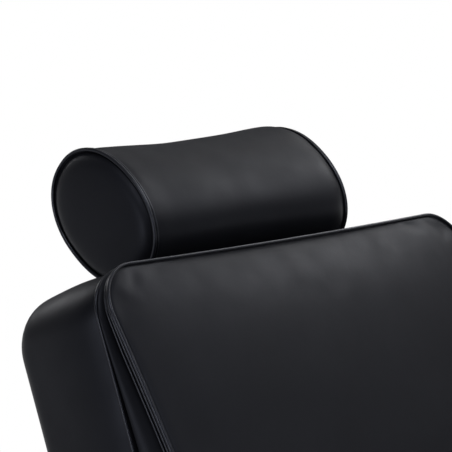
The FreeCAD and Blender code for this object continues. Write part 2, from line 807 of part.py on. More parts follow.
def build_gas_spring():
    """The locking gas spring between the seat and the back's crank."""
    pressed = math.radians(lever_rest_angle - lever_angle)
    valve_front = -lever_ahead + lever_finger * math.cos(pressed) + lever_finger_radius + SET_GAP
    cylinder = lengthwise(rail_middle, -gas_front, gas_rear, gas_radius)
    cylinder = cylinder.fuse(lengthwise(rail_middle, valve_front, -gas_front, gas_valve_radius))
    chamber = lengthwise(rail_middle, gas_end_wall - gas_front, gas_rear - gas_end_wall, gas_bore)
    mouth = lengthwise(rail_middle, 0, gas_rear + SINK, gas_rod_radius + RUNNING)
    parts["gas_cylinder"] = cylinder.cut([chamber, mouth]).removeSplitter()

    clamp_front = clamp_setback - gas_front
    clamp = block((-clamp_width / 2, clamp_width / 2), (clamp_front, clamp_front + clamp_length),
                  (rail_bottom, board_bottom - clamp_top))
    parts["gas_cylinder_clamp"] = clamp.cut(lengthwise(rail_middle, -gas_front, gas_rear, gas_radius))

    inner = crank_thickness / 2 + SET_GAP
    outer = inner + fork_ear
    web_rear = crank_pin_y - fork_depth
    web_front = web_rear - fork_web
    piston_front = gas_rear - gas_insert
    fork = link((crank_pin_y, rail_middle), (web_front + fork_radius, rail_middle), fork_radius, fork_radius,
                -outer, outer)
    slot = block((-inner, inner), (web_rear, crank_pin_y + 2 * fork_radius),
                 (rail_middle - 2 * fork_radius, rail_middle + 2 * fork_radius))
    eye = crossbar(crank_pin_y, rail_middle, -outer - SINK, outer + SINK, crank_pin_radius + crank_pin_slack)
    shaft = lengthwise(rail_middle, piston_front, web_rear, gas_rod_radius)
    piston = lengthwise(rail_middle, piston_front, piston_front + gas_piston, gas_bore - RUNNING)
    parts["gas_rod"] = fork.cut([slot, eye]).fuse([shaft, piston]).removeSplitter()

    half = crank_thickness / 2
    crank = link((pivot_y, pivot_z), (crank_pin_y, crank_pin_z), crank_hub, crank_tip, -half, half)
    hub_hole = crossbar(pivot_y, pivot_z, -half - SINK, half + SINK, cross_tube)
    pin_hole = crossbar(crank_pin_y, crank_pin_z, -half - SINK, half + SINK, crank_pin_radius)
    parts["recline_crank"] = crank.cut([hub_hole, pin_hole])

    head = outer + SET_GAP
    pin = crossbar(crank_pin_y, crank_pin_z, -head, head, crank_pin_radius)
    for low, high in ((head, head + fork_ear), (-head - fork_ear, -head)):
        pin = pin.fuse(crossbar(crank_pin_y, crank_pin_z, low, high, crank_pin_head))
    parts["crank_pin"] = pin.removeSplitter()


def build_lever():
    """The lever that opens the gas spring's valve, and its bush in the right-hand rail."""
    shaft_y = -lever_ahead
    rest = math.radians(lever_rest_angle)
    pivot = (shaft_y, rail_middle)
    finger_tip = (shaft_y + lever_finger * math.cos(rest), rail_middle - lever_finger * math.sin(rest))
    handle_tip = (shaft_y + lever_length, rail_middle + lever_rise)
    lever = crossbar(shaft_y, rail_middle, -lever_outer, lever_shaft_end, lever_shaft_radius)
    lever = lever.fuse(link(pivot, finger_tip, lever_finger_root, lever_finger_radius, -lever_shaft_end,
                            lever_shaft_end))
    lever = lever.fuse(link(pivot, handle_tip, lever_eye, lever_tip, -lever_outer, -lever_inner))
    parts["recline_lever"] = lever.removeSplitter()

    share = 1 - grip_length / math.hypot(lever_length, lever_rise)
    grip_start = (shaft_y + lever_length * share, rail_middle + lever_rise * share)
    start_radius = lever_eye + (lever_tip - lever_eye) * share + grip_wall
    grip = link(grip_start, handle_tip, start_radius, lever_tip + grip_wall, -lever_outer - grip_wall,
                -lever_inner + grip_wall)
    parts["lever_grip"] = grip.cut(parts["recline_lever"])

    bush_bore = lever_shaft_radius + RUNNING
    low = -rail_outer - lever_bush_lip
    high = -rail_inner + lever_bush_lip
    bush = crossbar(shaft_y, rail_middle, low, high, bush_bore + lever_bush_wall)
    parts["lever_bush"] = bush.cut(crossbar(shaft_y, rail_middle, low - SINK, high + SINK, bush_bore))
    parts["seat_rail_right"] = parts["seat_rail_right"].cut(bush)


def build_footrest():
    """The footrest's two tubes, the folding plate on them and the calf pad."""
    path = [
        (foot_x, -foot_start, rail_middle), (foot_x, -foot_knee, rail_middle), (foot_x, -foot_heel, foot_level),
        (foot_x, -foot_toe, foot_level),
    ]
    rod_end = foot_x + foot_tube + foot_rod_overhang
    cross_rod = crossbar(foot_rod_y, foot_level, -rod_end, rod_end, foot_rod_radius)
    pair("footrest_tube", bent_tube(path, foot_bend, foot_tube, foot_wall).cut(cross_rod))
    parts["footrest_cross_rod"] = cross_rod

    clamp_inner = foot_x - foot_tube - foot_clamp_wall
    clamp = block((clamp_inner, rail_inner), (-foot_clamp_front, foot_clamp_length - foot_clamp_front),
                  (rail_bottom, board_bottom))
    parts["footrest_clamps"] = both([clamp.cut(bent_bar(path, foot_bend, foot_tube)).Solids[0]])

    toe = (foot_x, -foot_toe, foot_level)
    disc = rod((foot_x, -foot_toe - plug_disc, foot_level), toe, foot_tube)
    plug = rod(toe, (foot_x, plug_length - foot_toe, foot_level), foot_tube - foot_wall)
    parts["footrest_end_caps"] = both([disc.fuse(plug).removeSplitter()])

    half = footplate_width / 2
    low = foot_level + foot_tube + SET_GAP
    top = low + footplate_thickness
    rear = foot_rod_y - footplate_setback
    front = rear - footplate_depth
    plate = rounded(block((-half, half), (front, rear), (low, top)), (0, 0, 1), footplate_corner)
    inside = footplate_thickness / 2
    for x in (-footplate_lug_centre, footplate_lug_centre):
        plate = plate.fuse(link((foot_rod_y, foot_level), (rear - footplate_thickness, low + inside),
                                footplate_lug_radius, inside, x - footplate_lug / 2, x + footplate_lug / 2))
    plate = plate.cut(crossbar(foot_rod_y, foot_level, -half, half, foot_rod_radius + RUNNING))
    parts["footplate"] = plate.removeSplitter()

    tread_top = top + tread_thickness
    tread = block((tread_margin - half, half - tread_margin), (front + tread_margin, rear - tread_margin),
                  (top, tread_top))
    tread = rounded(tread, (0, 0, 1), footplate_corner - tread_margin)
    parts["footplate_tread"] = grooved(tread, front + tread_margin, rear - tread_margin, tread_top,
                                       footplate_width - 2 * footplate_corner)

    slope = math.degrees(math.atan2(rail_middle - foot_level, foot_heel - foot_knee))
    origin = (0, -(foot_knee + foot_heel) / 2, (rail_middle + foot_level) / 2)
    board_top = foot_tube + calf_board_thickness
    board = block((-calf_board_width / 2, calf_board_width / 2), (-calf_board_length / 2, calf_board_length / 2),
                  (foot_tube, board_top))
    parts["calf_board"] = placed(board, origin, slope)
    stations = [
        (-calf_length / 2, calf_edge * 0.9, calf_crown * 0.6),
        (-calf_length * 0.2, calf_edge, calf_crown),
        (calf_length * 0.2, calf_edge, calf_crown),
        (calf_length / 2, calf_edge * 0.9, calf_crown * 0.6),
    ]
    pad = placed(boxed_cushion(calf_width, calf_corner, stations), (0, 0, board_top), 0)
    parts["calf_pad"] = placed(pad, origin, slope)


def back_outer():
    """The shell's outer form: a box with a round top rear edge, a round foot and softened sides."""
    half = back_width / 2
    profile = [(0, back_bottom), (back_depth, back_bottom), (back_depth, back_rear_top), (0, back_top)]
    solid = side_plate(profile, -half, half)
    for radius, z in ((back_crown_radius, back_rear_top), (back_foot_radius, back_bottom)):
        edges = []
        for edge in solid.Edges:
            middle = edge.CenterOfMass
            if abs(middle.x) < 1 and abs(middle.y - back_depth) < 1 and abs(middle.z - z) < 1:
                edges.append(edge)
        solid = solid.makeFillet(radius, edges)
    sides = []
    for edge in solid.Edges:
        middle = edge.CenterOfMass
        if abs(middle.x) > half - 1 and middle.y > 1:
            sides.append(edge)
    return solid.makeFillet(back_side_radius, sides)


def build_back():
    """The backrest on its straps, in the back's own frame until it is placed."""
    tube = crossbar(0, 0, -cross_half, cross_half, cross_tube)
    tube = tube.cut(crossbar(0, 0, -cross_half - SINK, cross_half + SINK, hinge_pin_radius + RUNNING))
    parts["back_cross_tube"] = on_back(tube)

    strap_rear = back_board_thickness + strap_thickness
    low = strap_centre - strap_width / 2
    high = strap_centre + strap_width / 2
    strap = crossbar(0, 0, low, high, strap_rear)
    strap = strap.fuse(block((low, high), (back_board_thickness, strap_rear), (0, strap_top)))
    strap = strap.cut(crossbar(0, 0, low - SINK, high + SINK, cross_tube))
    seats = []
    for i in range(strap_bolt_count):
        seats.append((strap_centre, strap_rear, strap_bolt_first + i * strap_bolt_pitch))
    forward = (0, -1, 0)
    length = strap_thickness + strap_bolt_bite
    strap = drilled(strap.removeSplitter(), seats, forward, strap_bolt_radius, length)
    bolts = both([bolt(seat, forward, strap_bolt_radius, length) for seat in seats])
    parts["back_strap_left"] = on_back(strap)
    parts["back_strap_right"] = on_back(mirrored(strap))
    parts["strap_bolts"] = on_back(bolts)

    half = back_width / 2
    pocket_x = (back_wall - half, half - back_wall)
    pocket_z = (back_bottom + back_wall, back_rear_top - back_wall)
    notch = block((low - SET_GAP, high + SET_GAP), (back_board_thickness - SET_GAP, strap_rear + SET_GAP),
                  (back_bottom - SINK, back_bottom + back_wall + SINK))
    shell = back_outer().cut(block(pocket_x, (-SINK, back_depth - back_wall), pocket_z))
    shell = shell.cut([notch, mirrored(notch)])
    board = block(pocket_x, (0, back_board_thickness), pocket_z)
    parts["back_board"] = on_back(board.cut(bolts))

    guide_top = back_rear_top - back_wall
    guide_low = guide_top - guide_length
    flange_low = back_rear_top - bush_flange_height
    guide = column(post_centre, post_setback, guide_low, guide_top, guide_radius)
    barrel = column(post_centre, post_setback, guide_top, back_rear_top, guide_radius)
    recess = column(post_centre, post_setback, flange_low, back_top, bush_flange)
    shell = shell.cut([barrel, recess, mirrored(barrel), mirrored(recess)])
    flange = column(post_centre, post_setback, flange_low, back_rear_top, bush_flange)
    bush = barrel.fuse(flange).removeSplitter()
    bore = column(post_centre, post_setback, guide_low - SINK, back_top, post_radius + RUNNING)
    parts["back_shell"] = on_back(shell)
    parts["headrest_guide_tubes"] = on_back(both([guide.cut(bore)]))
    parts["headrest_bushes"] = on_back(both([bush.cut(bore)]))
    reach = post_centre + guide_bracket_margin
    brackets = []
    for lift in (guide_bracket_low, guide_bracket_high):
        z = guide_low + lift
        bracket = block((-reach, reach), (back_board_thickness, post_setback + guide_bracket_margin),
                        (z - guide_bracket_height / 2, z + guide_bracket_height / 2))
        brackets.append(bracket.cut([guide, mirrored(guide)]))
    parts["guide_brackets"] = on_back(Part.makeCompound(brackets))

    shoulder_rise = (back_cushion_shoulder + back_cushion_thin) / 2 - back_cushion_dip
    stations = [
        (back_cushion_bottom, back_cushion_low, back_crown * 0.5),
        (back_cushion_top - back_cushion_lumbar_at, back_cushion_lumbar, back_crown),
        (back_cushion_top - back_cushion_shoulder_at, back_cushion_shoulder, back_crown),
        (back_cushion_top - back_cushion_shoulder_at * 0.3, shoulder_rise, back_crown * 0.8),
        (back_cushion_top, back_cushion_thin, back_crown * 0.3),
    ]
    cushion = boxed_cushion(back_cushion_width, back_cushion_corner, stations)
    parts["back_cushion"] = on_back(placed(cushion, ORIGIN, 90))


def build_headrest():
    """The bolster on its two posts."""
    quarter = headrest_length / 4
    near_waist = (1 + 3 * headrest_waist) / 4
    sections = []
    for step, share in ((-2, 1), (-1, near_waist), (0, headrest_waist), (1, near_waist), (2, 1)):
        sections.append(stadium(step * quarter, share))
    end = headrest_length / 2
    rings = []
    for reach, share in ((0, 0), (0.55, 0.35), (1, 1)):
        rings.append(stadium(end + headrest_cap * reach, 1 - (1 - headrest_cap_share) * share))
    cap = Part.makeLoft(rings, True)
    bolster = Part.makeLoft(sections, True).fuse([cap, mirrored(cap)])

    centre = (0, headrest_setback, headrest_height)
    core_z = headrest_height + core_top
    core = block((-core_length / 2, core_length / 2),
                 (post_setback - core_thickness / 2, post_setback + core_thickness / 2), (core_z - core_height, core_z))
    top = headrest_height + post_end
    post = column(post_centre, post_setback, top - post_length, top, post_radius)
    posts = [post, mirrored(post)]
    parts["headrest_posts"] = on_back(Part.makeCompound(posts))
    parts["headrest_bolster"] = on_back(placed(bolster, centre, -headrest_tilt).cut([core] + posts))
    parts["headrest_core"] = on_back(core.cut(posts))


build_base()
build_pedal()
build_lift()
bolt_seats, bolt_length = build_seat()
build_rails(bolt_seats, bolt_length)
build_gas_spring()
build_lever()
build_footrest()
build_back()
build_headrest()

os.makedirs("parts", exist_ok=True)
for name, shape in parts.items():
    shape.exportStep("parts/" + name + ".step")
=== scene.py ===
import json
import math

import bmesh
import bpy
from mathutils import Matrix, Vector, kdtree, noise

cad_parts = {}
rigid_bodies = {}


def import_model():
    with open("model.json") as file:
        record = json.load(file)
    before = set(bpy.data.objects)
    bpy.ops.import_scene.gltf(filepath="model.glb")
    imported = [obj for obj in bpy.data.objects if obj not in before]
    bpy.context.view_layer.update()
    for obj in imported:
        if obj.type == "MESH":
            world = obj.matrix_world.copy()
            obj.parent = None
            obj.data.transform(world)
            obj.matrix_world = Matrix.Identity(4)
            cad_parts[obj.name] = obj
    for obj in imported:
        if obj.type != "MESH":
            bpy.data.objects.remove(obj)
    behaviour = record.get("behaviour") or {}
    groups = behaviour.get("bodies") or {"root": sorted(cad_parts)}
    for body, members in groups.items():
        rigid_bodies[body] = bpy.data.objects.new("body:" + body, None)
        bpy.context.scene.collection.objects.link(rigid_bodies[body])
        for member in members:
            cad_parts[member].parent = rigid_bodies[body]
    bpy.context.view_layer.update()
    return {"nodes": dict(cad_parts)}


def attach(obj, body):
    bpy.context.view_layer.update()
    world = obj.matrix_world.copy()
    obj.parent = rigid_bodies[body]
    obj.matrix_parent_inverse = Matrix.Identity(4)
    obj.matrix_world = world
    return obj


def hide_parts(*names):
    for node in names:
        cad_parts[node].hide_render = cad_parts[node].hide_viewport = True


# Black barber chair, in metres. The sitter faces -Y, and the sitter's left is +X.

for leftover in list(bpy.data.objects):
    bpy.data.objects.remove(leftover)
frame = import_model()
scene = bpy.context.scene

MM = 0.001
PIVOT = Vector((0, 0.266, 0.422311))
LEAN = math.radians(20)

# Local frames of the soft pieces: the first axis is across the chair and the third is out of the padding
BACK = Matrix.Translation(PIVOT) @ Matrix.Rotation(math.radians(90) - LEAN, 4, "X")
SHELL = BACK @ Matrix.Scale(-1, 4, (0, 0, 1))
CALF_MIDDLE = (0, -0.3575, 0.246)
CALF_RISE = 362 - 130  # between the calf board's ends, in millimetres
CALF_RUN = 430 - 285
CALF_SLOPE = math.atan2(CALF_RISE, CALF_RUN)
CALF = Matrix.Translation(CALF_MIDDLE) @ Matrix.Rotation(CALF_SLOPE, 4, "X")

BOLSTER_ASIDE = 2.5 * MM
BOLSTER_UP = 627.2 * MM
BOLSTER_BACK = 79.4 * MM
BOLSTER_HALF = 140 * MM
BOLSTER_LONG = 67.3 * MM
BOLSTER_SHORT = 50.6 * MM
BOLSTER_TILT = math.radians(30)
BOLSTER_SQUARE = (2.15, 2.4)  # at the ends and between them: 2 is an ellipse, more has flatter sides
HOLLOW_RISE = math.radians(15)
BOLSTER_PROFILE = [
    # place between the ends, share of the full oval
    (-1, 1.0),
    (-0.97, 1.0),
    (-0.9, 0.996),
    (-0.75, 0.98),
    (-0.3, 0.955),
    (0, 0.965),
    (0.35, 0.99),
    (0.69, 1.035),
    (0.85, 1.05),
    (0.95, 1.03),
    (1, 1.0),
]
BOLSTER_HOLLOW = [
    # place between the ends, how far the front is worn hollow, in millimetres (less than 0 is fuller)
    (-1, 0),
    (-0.93, 1.2),
    (-0.8, 0.8),
    (-0.6, -1.2),
    (-0.4, -2.8),
    (0, -3.2),
    (0.4, -3.2),
    (0.8, -3),
    (0.93, -1.8),
    (1, 0),
]
BOLSTER_END = [
    # share of the oval, rise of the end panel above its seam's plane in millimetres
    (0.988, -1.6),
    (0.972, -1.8),
    (0.955, -0.6),
    (0.925, 1.3),
    (0.885, 3.1),
    (0.84, 4.4),
    (0.78, 5.5),
    (0.7, 6.2),
    (0.6, 6.6),
    (0.48, 6.8),
]


# Materials

def link(tree, source, target):
    """Join a node's output to another node's input."""
    tree.links.new(source, target)


def add(tree, kind, **values):
    """A shader node with some of its inputs set."""
    made = tree.nodes.new(kind)
    for key, value in values.items():
        if hasattr(made, key):
            setattr(made, key, value)
        else:
            made.inputs[key.replace("_", " ")].default_value = value
    return made


def new_material(name, colour, roughness, metallic=0.0, specular=0.5):
    """A principled material, with the coordinates that its textures share."""
    made = bpy.data.materials.new(name)
    made.use_nodes = True
    tree = made.node_tree
    shader = tree.nodes["Principled BSDF"]
    shader.inputs["Base Color"].default_value = (*colour, 1)
    shader.inputs["Roughness"].default_value = roughness
    shader.inputs["Metallic"].default_value = metallic
    shader.inputs["Specular IOR Level"].default_value = specular
    place = add(tree, "ShaderNodeTexCoord").outputs["Object"]
    return made, tree, shader, place


def stretched(tree, place, scale):
    """The shared coordinates, stretched along the axes."""
    mapping = add(tree, "ShaderNodeMapping", Scale=scale)
    link(tree, place, mapping.inputs["Vector"])
    return mapping.outputs["Vector"]


def mottle(tree, place, scale, detail=3.0):
    """A cloudy pattern of about 1/scale metres."""
    made = add(tree, "ShaderNodeTexNoise", Scale=scale, Detail=detail)
    link(tree, place, made.inputs["Vector"])
    return made.outputs["Fac"]


def ranged(tree, pattern, low, high, start=0.3, end=0.7):
    """A pattern spread over a range of values."""
    made = add(tree, "ShaderNodeMapRange")
    for key, value in (("From Min", start), ("From Max", end), ("To Min", low), ("To Max", high)):
        made.inputs[key].default_value = value
    link(tree, pattern, made.inputs["Value"])
    return made.outputs["Result"]


def tinted(tree, pattern, first, second, start=0.3, end=0.7):
    """A pattern spread between two colours."""
    made = add(tree, "ShaderNodeValToRGB")
    stops = made.color_ramp.elements
    stops[0].position = start
    stops[1].position = end
    stops[0].color = (*first, 1)
    stops[1].color = (*second, 1)
    link(tree, pattern, made.inputs["Fac"])
    return made.outputs["Color"]


def embossed(tree, shader, layers):
    """Bump layers, each (pattern, height in metres, strength), one over the other."""
    below = None
    for pattern, height, strength in layers:
        made = add(tree, "ShaderNodeBump", Distance=height, Strength=strength)
        link(tree, pattern, made.inputs["Height"])
        if below is not None:
            link(tree, below, made.inputs["Normal"])
        below = made.outputs["Normal"]
    link(tree, below, shader.inputs["Normal"])


def cells(tree, place, scale, feature="F1"):
    """A pattern of cells of about 1/scale metres."""
    made = add(tree, "ShaderNodeTexVoronoi", Scale=scale)
    made.feature = feature
    link(tree, place, made.inputs["Vector"])
    return made.outputs["Distance"]


def leather(name, dark, light, smooth, rough, specular):
    """Black artificial leather with a fine grain, a faint mottle and a soft uneven sheen."""
    made, tree, shader, place = new_material(name, dark, rough, specular=specular)
    link(tree, tinted(tree, mottle(tree, place, 14), dark, light), shader.inputs["Base Color"])
    link(tree, ranged(tree, mottle(tree, place, 32), smooth, rough), shader.inputs["Roughness"])
    shader.inputs["Specular Tint"].default_value = (0.76, 0.81, 1, 1)
    pebble = cells(tree, place, 1300, "DISTANCE_TO_EDGE")
    embossed(tree, shader, [
        (mottle(tree, place, 90, 4), 0.6 * MM, 0.11),
        (mottle(tree, place, 300, 3), 0.3 * MM, 0.12),
        (pebble, 0.25 * MM, 0.12),
        (mottle(tree, place, 2600, 2), 0.1 * MM, 0.1),
    ])
    return made


def plated(name, colour, smooth, rough):
    """Bright plating with faint wiping marks."""
    made, tree, shader, place = new_material(name, colour, rough, metallic=1.0)
    dull = tuple(0.9 * c for c in colour)
    link(tree, tinted(tree, mottle(tree, place, 9), colour, dull), shader.inputs["Base Color"])
    wiped = mottle(tree, stretched(tree, place, (1, 1, 0.25)), 45, 5)
    link(tree, ranged(tree, wiped, smooth, rough), shader.inputs["Roughness"])
    embossed(tree, shader, [(mottle(tree, place, 120, 2), 0.05 * MM, 0.05)])
    return made


def ground(name, colour, smooth, rough):
    """Ground steel with fine turning marks."""
    made, tree, shader, place = new_material(name, colour, rough, metallic=1.0)
    marks = mottle(tree, stretched(tree, place, (1, 1, 40)), 60, 4)
    dark = tuple(0.8 * c for c in colour)
    link(tree, tinted(tree, marks, dark, colour), shader.inputs["Base Color"])
    link(tree, ranged(tree, marks, smooth, rough), shader.inputs["Roughness"])
    embossed(tree, shader, [(marks, 0.08 * MM, 0.12)])
    return made


def zinc_plated(name, colour, smooth, rough):
    """Zinc plating with a faint crystal pattern."""
    made, tree, shader, place = new_material(name, colour, rough, metallic=1.0)
    crystals = cells(tree, place, 260)
    pale = tuple(min(1.0, 1.2 * c) for c in colour)
    link(tree, tinted(tree, crystals, colour, pale), shader.inputs["Base Color"])
    link(tree, ranged(tree, mottle(tree, place, 150), smooth, rough), shader.inputs["Roughness"])
    embossed(tree, shader, [(mottle(tree, place, 500), 0.06 * MM, 0.12)])
    return made


def painted(name, colour, smooth, rough):
    """Satin paint with orange peel and slightly paler rubbed patches."""
    made, tree, shader, place = new_material(name, colour, rough, specular=0.4)
    rubbed = tuple(1.7 * c for c in colour)
    patches = mottle(tree, place, 24, 5)
    link(tree, tinted(tree, patches, colour, rubbed, 0.45, 0.8), shader.inputs["Base Color"])
    link(tree, ranged(tree, mottle(tree, place, 40), smooth, rough), shader.inputs["Roughness"])
    embossed(tree, shader, [(mottle(tree, place, 700, 2), 0.08 * MM, 0.14)])
    return made


def moulded(name, colour, smooth, rough, grain, height):
    """Moulded rubber or plastic with a fine even texture and a little dust."""
    made, tree, shader, place = new_material(name, colour, rough, specular=0.35)
    dusty = tuple(1.8 * c for c in colour)
    dust = mottle(tree, place, 18, 6)
    link(tree, tinted(tree, dust, colour, dusty, 0.4, 0.85), shader.inputs["Base Color"])
    link(tree, ranged(tree, mottle(tree, place, 60), smooth, rough), shader.inputs["Roughness"])
    embossed(tree, shader, [(cells(tree, place, grain), height, 0.25)])
    return made


def ply(name, dark, pale):
    """Bare plywood: long grain on the faces and thin layers on the edges."""
    made, tree, shader, place = new_material(name, pale, 0.62, specular=0.3)
    fibres = mottle(tree, stretched(tree, place, (140, 9, 9)), 1, 6)
    layers = mottle(tree, stretched(tree, place, (6, 6, 420)), 1, 2)
    both = add(tree, "ShaderNodeMath", operation="MULTIPLY")
    link(tree, fibres, both.inputs[0])
    link(tree, layers, both.inputs[1])
    link(tree, tinted(tree, both.outputs["Value"], dark, pale, 0.1, 0.42), shader.inputs["Base Color"])
    link(tree, ranged(tree, fibres, 0.5, 0.75), shader.inputs["Roughness"])
    embossed(tree, shader, [(fibres, 0.15 * MM, 0.3)])
    return made


def cast(name, colour, smooth, rough):
    """Polished casting with a trace of its sand grain."""
    made, tree, shader, place = new_material(name, colour, rough, metallic=1.0)
    dull = tuple(0.82 * c for c in colour)
    link(tree, tinted(tree, mottle(tree, place, 30, 5), dull, colour), shader.inputs["Base Color"])
    link(tree, ranged(tree, mottle(tree, place, 80), smooth, rough), shader.inputs["Roughness"])
    embossed(tree, shader, [(cells(tree, place, 900), 0.08 * MM, 0.12)])
    return made


BLACK = (0.003, 0.0032, 0.0043)
SOFT_BLACK = (0.0043, 0.0046, 0.0061)
finishes = {
    "upholstery": leather("upholstery", BLACK, SOFT_BLACK, 0.42, 0.5, 0.12),
    "cord": leather("cord", BLACK, SOFT_BLACK, 0.27, 0.35, 0.27),
    "chrome": plated("chrome", (0.72, 0.73, 0.75), 0.05, 0.14),
    "ground_steel": ground("ground_steel", (0.6, 0.6, 0.62), 0.18, 0.3),
    "zinc": zinc_plated("zinc", (0.5, 0.5, 0.5), 0.32, 0.48),
    "black_paint": painted("black_paint", (0.016, 0.016, 0.018), 0.3, 0.45),
    "rubber": moulded("rubber", (0.018, 0.018, 0.018), 0.65, 0.85, 1500, 0.2 * MM),
    "black_plastic": moulded("black_plastic", (0.02, 0.02, 0.022), 0.42, 0.58, 2200, 0.12 * MM),
    "plywood": ply("plywood", (0.32, 0.2, 0.1), (0.6, 0.44, 0.27)),
    "cast_aluminium": cast("cast_aluminium", (0.7, 0.7, 0.71), 0.2, 0.36),
}
for node in frame["nodes"].values():
    for place in node.material_slots:
        place.material = finishes[place.material.name.split(".")[0]]


# Shapes of the covers

CROWN_POWER = 2.6  # how flat the middle of a crowned panel is
CLOTH_FRAMES = 20


def splined(stations, at):
    """A curve through (place, value) stations that keeps its slope from one to the next."""
    last = len(stations) - 1
    at = min(max(at, stations[0][0]), stations[last][0])
    index = 0
    while index < last - 1 and at > stations[index + 1][0]:
        index += 1
    slopes = []
    for k in (index, index + 1):
        before = stations[max(0, k - 1)]
        after = stations[min(last, k + 1)]
        slopes.append((after[1] - before[1]) / (after[0] - before[0]))
    (a, low), (b, high) = stations[index], stations[index + 1]
    width = b - a
    t = (at - a) / width
    rise = low * (1 + 2 * t) * (1 - t) ** 2 + high * t * t * (3 - 2 * t)
    return rise + width * (slopes[0] * t * (1 - t) ** 2 - slopes[1] * t * t * (1 - t))


STRAIGHT = [0, 0, 0, 0]


def rectangle(width, low, high, radii, draw_in, across, along):
    """Points and outward directions round a rectangle with round corners.

    They start in the middle of the first corner, and the sides run low, right, high, left.
    The sides pull in a little between the corners, each by its own amount.
    """
    half = width / 2
    signs = ((-1, -1), (1, -1), (1, 1), (-1, 1))
    centres = []
    for (sx, sy), radius in zip(signs, radii):
        centres.append(Vector((sx * (half - radius), (low + radius) if sy < 0 else (high - radius))))
    line = []
    for side, count in enumerate((across, along, across, along)):
        first, second = centres[side], centres[(side + 1) % 4]
        r1, r2 = radii[side], radii[(side + 1) % 4]
        heading = math.radians(90 * side - 90)
        out = Vector((math.cos(heading), math.sin(heading)))
        start, end = first + out * r1, second + out * r2
        run = (end - start).length
        arcs = (r1 * math.pi / 4, r2 * math.pi / 4)
        total = arcs[0] + run + arcs[1]
        for step in range(count):
            at = total * step / count
            if at < arcs[0]:
                angle = heading - math.pi / 4 + at / r1
                way = Vector((math.cos(angle), math.sin(angle)))
                line.append((first + way * r1, way))
            elif at < arcs[0] + run:
                share = (at - arcs[0]) / run
                line.append((start.lerp(end, share) - out * draw_in[side] * 4 * share * (1 - share), out))
            else:
                angle = heading + (at - arcs[0] - run) / r2
                way = Vector((math.cos(angle), math.sin(angle)))
                line.append((second + way * r2, way))
    return line


def loop(line, outset, height):
    """A ring of local points: the outline moved outward, each point at its height."""
    ring = []
    for i, (point, out) in enumerate(line):
        moved = point + out * (outset[i] if isinstance(outset, list) else outset)
        ring.append(Vector((moved.x, moved.y, height[i] if isinstance(height, list) else height)))
    return ring


def fullness(s, t, power):
    """How far a crowned panel has risen, from 0 at its edges to 1 in its middle."""
    return (1 - abs(2 * s - 1) ** power) * (1 - abs(2 * t - 1) ** power)


def fill(points, faces, start, across, along, lift, power):
    """Close a ring of points with a crowned grid."""
    total = 2 * (across + along)
    ring = points[start:start + total]
    corners = (ring[0], ring[across], ring[2 * across + along], ring[across + along])
    number = {}
    for j in range(along + 1):
        t = j / along
        for i in range(across + 1):
            s = i / across
            if j == 0:
                number[i, j] = start + i
            elif i == across:
                number[i, j] = start + across + j
            elif j == along:
                number[i, j] = start + 2 * across + along - i
            elif i == 0:
                number[i, j] = start + total - j
            else:
                sides = ring[total - j].lerp(ring[across + j], s)
                sides = sides + ring[i].lerp(ring[2 * across + along - i], t)
                spread = corners[0].lerp(corners[1], s).lerp(corners[2].lerp(corners[3], s), t)
                number[i, j] = len(points)
                points.append(sides - spread + lift * fullness(s, t, power))
    for j in range(along):
        for i in range(across):
            faces.append((number[i, j], number[i + 1, j], number[i + 1, j + 1], number[i, j + 1]))


def skin(name, rings, across, along, lifts, place, power=CROWN_POWER):
    """A closed mesh over rings of points, with a crowned grid over the first ring and the last."""
    count = len(rings[0])
    points = [point for ring in rings for point in ring]
    faces = []
    for k in range(len(rings) - 1):
        for i in range(count):
            j = (i + 1) % count
            faces.append((k * count + i, k * count + j, (k + 1) * count + j, (k + 1) * count + i))
    fill(points, faces, 0, across, along, lifts[0], power)
    first_free = len(points)
    fill(points, faces, (len(rings) - 1) * count, across, along, lifts[1], power)
    mesh = bpy.data.meshes.new(name)
    mesh.from_pydata([place @ point for point in points], [], faces)
    mesh.validate()
    piece = bpy.data.objects.new(name, mesh)
    scene.collection.objects.link(piece)
    mesh.materials.append(finishes["upholstery"])
    outward(mesh)
    mesh.shade_smooth()
    return piece, first_free


def outward(mesh):
    """Turn every face of a closed mesh outward."""
    work = bmesh.new()
    work.from_mesh(mesh)
    bmesh.ops.recalc_face_normals(work, faces=work.faces)
    work.to_mesh(mesh)
    work.free()


def swell(piece, free, pressure, most, slack=0.0):
    """Let the padding push the free points out by cloth simulation, while the seams hold the rest.

    The point that moves most is held to a limit, and the others keep their share of its way.
    """
    mesh = piece.data
    held = [vertex.index for vertex in mesh.vertices if vertex.index not in free]
    group = piece.vertex_groups.new(name="held")
    group.add(held, 1.0, "REPLACE")
    cloth = piece.modifiers.new("padding", "CLOTH")
    settings = cloth.settings
    settings.quality = 5
    settings.vertex_group_mass = "held"
    settings.use_pressure = True
    settings.uniform_pressure_force = pressure
    settings.effector_weights.gravity = 0
    settings.tension_stiffness = 25
    settings.compression_stiffness = 25
    settings.bending_stiffness = 1.5
    settings.shrink_min = -slack
    cloth.point_cache.frame_start = 1
    cloth.point_cache.frame_end = CLOTH_FRAMES
    for number in range(1, CLOTH_FRAMES + 1):
        scene.frame_set(number)
    settled = piece.evaluated_get(bpy.context.evaluated_depsgraph_get()).data
    moved = [vertex.co.copy() for vertex in settled.vertices]
    piece.modifiers.remove(cloth)
    piece.vertex_groups.remove(group)
    steps = [target - vertex.co for vertex, target in zip(mesh.vertices, moved)]
    share = min(1.0, most / max(step.length for step in steps))
    for vertex, step in zip(mesh.vertices, steps):
        vertex.co += step * share
    scene.frame_set(1)
    mesh.update()


def move(piece, rule):
    """Move each point of a mesh by a rule on its place and its normal."""
    mesh = piece.data
    places = [(vertex.co.copy(), vertex.normal.copy()) for vertex in mesh.vertices]
    flat = []
    for point, normal in places:
        flat.extend(rule(point, normal))
    mesh.vertices.foreach_set("co", flat)
    mesh.update()


